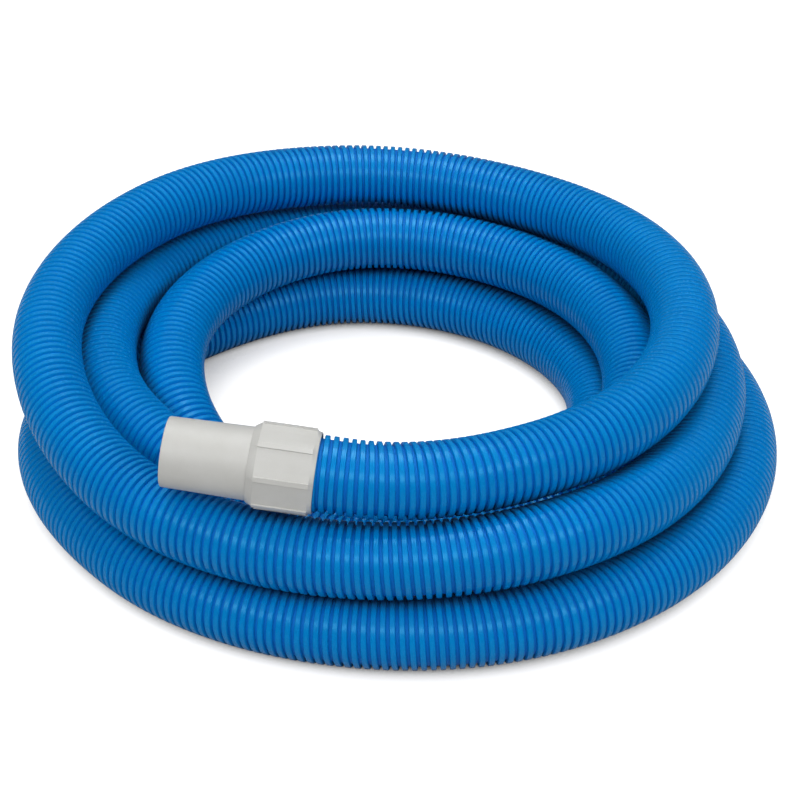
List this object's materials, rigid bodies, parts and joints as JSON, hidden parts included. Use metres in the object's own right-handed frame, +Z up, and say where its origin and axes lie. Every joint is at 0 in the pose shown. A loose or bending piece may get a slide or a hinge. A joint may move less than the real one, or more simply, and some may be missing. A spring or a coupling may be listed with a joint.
{
  "type": "vacuum hose",
  "caption": "Coiled spiral-ribbed suction hose with a swivel cuff at one end and a plain cuff at the other.",
  "frame": {"origin": "on the floor under the middle of the coil", "axes": "+Z up; the swivel cuff lies on top of the pile at -Y with its mouth towards -X"},
  "size_m": [0.5088, 0.5177, 0.1435],
  "materials": {
    "hose_blue": "extruded EVA, soft gloss",
    "cuff_white": "moulded, fine satin",
    "seal_black": "soft matt rubber"
  },
  "bodies": {
    "hose_body": {"hose": "hose_blue", "grip_collar": "cuff_white", "swivel_washer": "seal_black", "tail_cuff": "cuff_white", "tail_washer": "seal_black"},
    "nozzle_body": {"swivel_nozzle": "cuff_white"}
  },
  "joints": [
    {"name": "nozzle_swivel", "type": "hinge", "parent": "hose_body", "child": "nozzle_body", "pos_m": [-0.07352, -0.20637, 0.11666], "axis": [-0.9896, 0.0959, 0.1069], "continuous": true}
  ]
}
